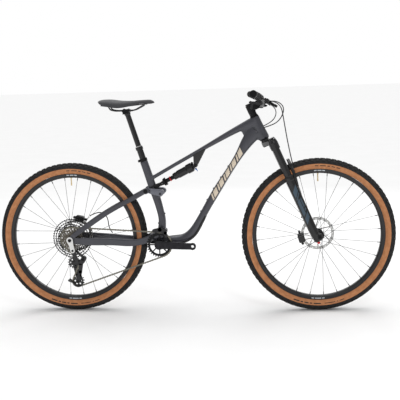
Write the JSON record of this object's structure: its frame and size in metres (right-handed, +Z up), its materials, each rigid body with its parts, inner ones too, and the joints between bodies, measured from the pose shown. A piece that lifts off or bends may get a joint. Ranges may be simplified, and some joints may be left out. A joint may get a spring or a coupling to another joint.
{
  "type": "mountain bike",
  "caption": "Full-suspension mountain bike with suspension fork, disc brakes, dropper seat post and single-ring drivetrain.",
  "frame": {"origin": "on the ground, midway between the axles, in the plane of the frame", "axes": "+X forward, +Y to the rider's left, +Z up"},
  "size_m": [1.9361, 0.7731, 1.0732],
  "materials": {
    "frame_paint": "satin slate grey",
    "link_paint": "satin light grey",
    "black_anodised": "satin black",
    "gloss_black": "gloss black",
    "silver": "satin silver",
    "steel": "brushed",
    "rim_carbon": "satin black",
    "tyre_rubber": "matt",
    "black_rubber": "matt",
    "black_plastic": "matt",
    "saddle_skin": "matt",
    "chain_steel": "nickel",
    "blue": "anodised blue",
    "red": "anodised red"
  },
  "bodies": {
    "frame": {"front_triangle": "frame_paint", "frame_bearings": "black_anodised", "frame_pivot_pins": "black_anodised", "seat_clamp": "black_anodised", "dropper_outer": "gloss_black", "down_tube_guard": "black_rubber", "chain_guide": "black_plastic", "chain": "chain_steel", "rear_brake_hose": "black_rubber"},
    "steering": {"fork_upper": "gloss_black", "headset_spacers": "black_anodised", "stem": "black_anodised", "handlebar": "black_anodised", "grips": "black_rubber", "brake_master_cylinders": "gloss_black", "shifter_pod": "black_plastic", "dropper_remote": "black_anodised", "front_brake_hose": "black_rubber", "dropper_cable": "black_rubber"},
    "fork_lowers": {"fork_lowers": "gloss_black", "front_axle": "black_anodised", "front_caliper": "gloss_black"},
    "front_wheel": {"front_tyre": "tyre_rubber", "front_rim": "rim_carbon", "front_spokes": "steel", "front_hub": "black_anodised", "front_rotor": "steel"},
    "damper_knob": {"damper_knob": "black_anodised"},
    "rebound_knob": {"rebound_knob": "red"},
    "swingarm": {"chainstays": "frame_paint", "rear_axle": "silver", "derailleur_mount": "silver", "derailleur_linkage": "gloss_black"},
    "seatstays": {"seatstays": "frame_paint", "rear_caliper": "gloss_black"},
    "rocker": {"rocker_link": "link_paint", "link_bolts": "black_anodised"},
    "shock_body": {"shock_can": "gloss_black"},
    "shock_lever": {"shock_lever": "blue"},
    "shock_shaft": {"shock_shaft": "steel", "shock_yoke": "black_anodised"},
    "rear_wheel": {"rear_tyre": "tyre_rubber", "rear_rim": "rim_carbon", "rear_spokes": "steel", "rear_hub": "black_anodised", "rear_rotor": "steel"},
    "crank": {"crank_arms": "black_anodised", "chainring": "black_anodised"},
    "cassette": {"cassette": "steel"},
    "derailleur_cage": {"derailleur_cage": "gloss_black"},
    "upper_jockey": {"upper_jockey_wheel": "black_plastic"},
    "lower_jockey": {"lower_jockey_wheel": "black_plastic"},
    "saddle": {"dropper_stanchion": "gloss_black", "saddle_clamp": "black_anodised", "saddle_base": "black_plastic", "saddle_pad": "saddle_skin"},
    "right_brake_lever": {"right_brake_lever": "black_anodised"},
    "left_brake_lever": {"left_brake_lever": "black_anodised"},
    "shift_paddle": {"shift_paddle": "black_plastic"},
    "dropper_paddle": {"dropper_paddle": "black_anodised"}
  },
  "joints": [
    {"name": "steering", "type": "hinge", "parent": "frame", "child": "steering", "pos_m": [0.55915, 0, 0.35146], "axis": [-0.3987, 0, 0.9171], "range_deg": [-73.9, 66.1], "deforming": ["rear_brake_hose", "dropper_cable"]},
    {"name": "fork_travel", "type": "slide", "parent": "steering", "child": "fork_lowers", "axis": [-0.3987, 0, 0.9171], "range_m": [0, 0.12], "stiffness_N_per_m": 6000, "springref_m": -0.03, "deforming": ["front_brake_hose"]},
    {"name": "front_wheel_spin", "type": "hinge", "parent": "fork_lowers", "child": "front_wheel", "pos_m": [0.59941, 0.00299, 0.36896], "axis": [-0.0624, 0.9977, -0.0271], "continuous": true},
    {"name": "damper_knob_turn", "type": "hinge", "parent": "steering", "child": "damper_knob", "pos_m": [0.38353, -0.06394, 0.83667], "axis": [-0.3987, 0, 0.9171], "range_deg": [0, 270]},
    {"name": "rebound_knob_turn", "type": "hinge", "parent": "fork_lowers", "child": "rebound_knob", "pos_m": [0.59686, -0.06394, 0.34604], "axis": [-0.3987, 0, 0.9171], "range_deg": [-180, 180]},
    {"name": "rear_travel", "type": "hinge", "parent": "frame", "child": "swingarm", "pos_m": [-0.1525, 0, 0.39], "axis": [0, 1, 0], "range_deg": [0, 15.21], "stiffness_Nm_per_rad": 900, "springref_deg": -5.73, "deforming": ["chain", "rear_brake_hose"]},
    {"name": "seatstay_pivot", "type": "hinge", "parent": "swingarm", "child": "seatstays", "pos_m": [-0.5995, 0, 0.369], "axis": [0, -1, 0], "range_deg": [0, 6.31]},
    {"name": "rocker_pivot", "type": "hinge", "parent": "frame", "child": "rocker", "pos_m": [-0.1545, 0, 0.584], "axis": [0, 1, 0], "range_deg": [0, 56.5]},
    {"name": "shock_front_pivot", "type": "hinge", "parent": "frame", "child": "shock_body", "pos_m": [0.0175, 0, 0.716], "axis": [0, 1, 0], "range_deg": [-0.1, 1.06]},
    {"name": "shock_stroke", "type": "slide", "parent": "shock_body", "child": "shock_shaft", "axis": [0.8892, 0, 0.4574], "range_m": [0, 0.0414]},
    {"name": "shock_lever_turn", "type": "hinge", "parent": "shock_body", "child": "shock_lever", "pos_m": [0.01839, 0, 0.69678], "axis": [-0.8892, 0, -0.4574], "range_deg": [-35, 35]},
    {"name": "rear_wheel_spin", "type": "hinge", "parent": "swingarm", "child": "rear_wheel", "pos_m": [-0.5995, 0, 0.369], "axis": [0, 1, 0], "continuous": true},
    {"name": "crank_spin", "type": "hinge", "parent": "frame", "child": "crank", "pos_m": [-0.1665, 0, 0.336], "axis": [0, 1, 0], "continuous": true, "deforming": ["chain"]},
    {"name": "cassette_spin", "type": "hinge", "parent": "swingarm", "child": "cassette", "pos_m": [-0.5995, 0, 0.369], "axis": [0, 1, 0], "continuous": true, "deforming": ["chain"]},
    {"name": "upper_jockey_spin", "type": "hinge", "parent": "derailleur_cage", "child": "upper_jockey", "pos_m": [-0.5965, 0, 0.25], "axis": [0, 1, 0], "continuous": true, "deforming": ["chain"]},
    {"name": "lower_jockey_spin", "type": "hinge", "parent": "derailleur_cage", "child": "lower_jockey", "pos_m": [-0.57813, 0, 0.15781], "axis": [0, 1, 0], "continuous": true, "deforming": ["chain"]},
    {"name": "cage_pivot", "type": "hinge", "parent": "swingarm", "child": "derailleur_cage", "pos_m": [-0.5965, 0, 0.25], "axis": [0, 1, 0], "range_deg": [-62, 24], "stiffness_Nm_per_rad": 4, "deforming": ["chain"]},
    {"name": "dropper_travel", "type": "slide", "parent": "frame", "child": "saddle", "axis": [-0.2907, 0, 0.9568], "range_m": [-0.15, 0], "stiffness_N_per_m": 400, "springref_m": 0.05},
    {"name": "right_brake_lever_pull", "type": "hinge", "parent": "steering", "child": "right_brake_lever", "pos_m": [0.38351, -0.21951, 1.01327], "axis": [-0.586, -0.0586, -0.8082], "range_deg": [0, 18], "stiffness_Nm_per_rad": 3},
    {"name": "left_brake_lever_pull", "type": "hinge", "parent": "steering", "child": "left_brake_lever", "pos_m": [0.35532, 0.23144, 1.00102], "axis": [0.586, 0.0586, 0.8082], "range_deg": [0, 18], "stiffness_Nm_per_rad": 3},
    {"name": "shift_paddle_press", "type": "hinge", "parent": "steering", "child": "shift_paddle", "pos_m": [0.33283, -0.18569, 1.00985], "axis": [-0.0624, 0.9977, -0.0271], "range_deg": [-8, 10], "stiffness_Nm_per_rad": 1},
    {"name": "dropper_paddle_press", "type": "hinge", "parent": "steering", "child": "dropper_paddle", "pos_m": [0.30925, 0.19143, 0.9996], "axis": [-0.0624, 0.9977, -0.0271], "range_deg": [0, 22], "stiffness_Nm_per_rad": 1}
  ],
  "couplings": [
    {"joint": "seatstay_pivot", "follows": "rear_travel", "ratio": 0.40694},
    {"joint": "rocker_pivot", "follows": "rear_travel", "ratio": 3.6779},
    {"joint": "shock_front_pivot", "follows": "rear_travel", "ratio": 0.06661},
    {"joint": "shock_stroke", "follows": "rear_travel", "m_per_rad": 0.15453},
    {"joint": "cassette_spin", "follows": "crank_spin", "ratio": 1.0714},
    {"joint": "upper_jockey_spin", "follows": "crank_spin", "ratio": -2.1429},
    {"joint": "lower_jockey_spin", "follows": "crank_spin", "ratio": 2.1429}
  ]
}
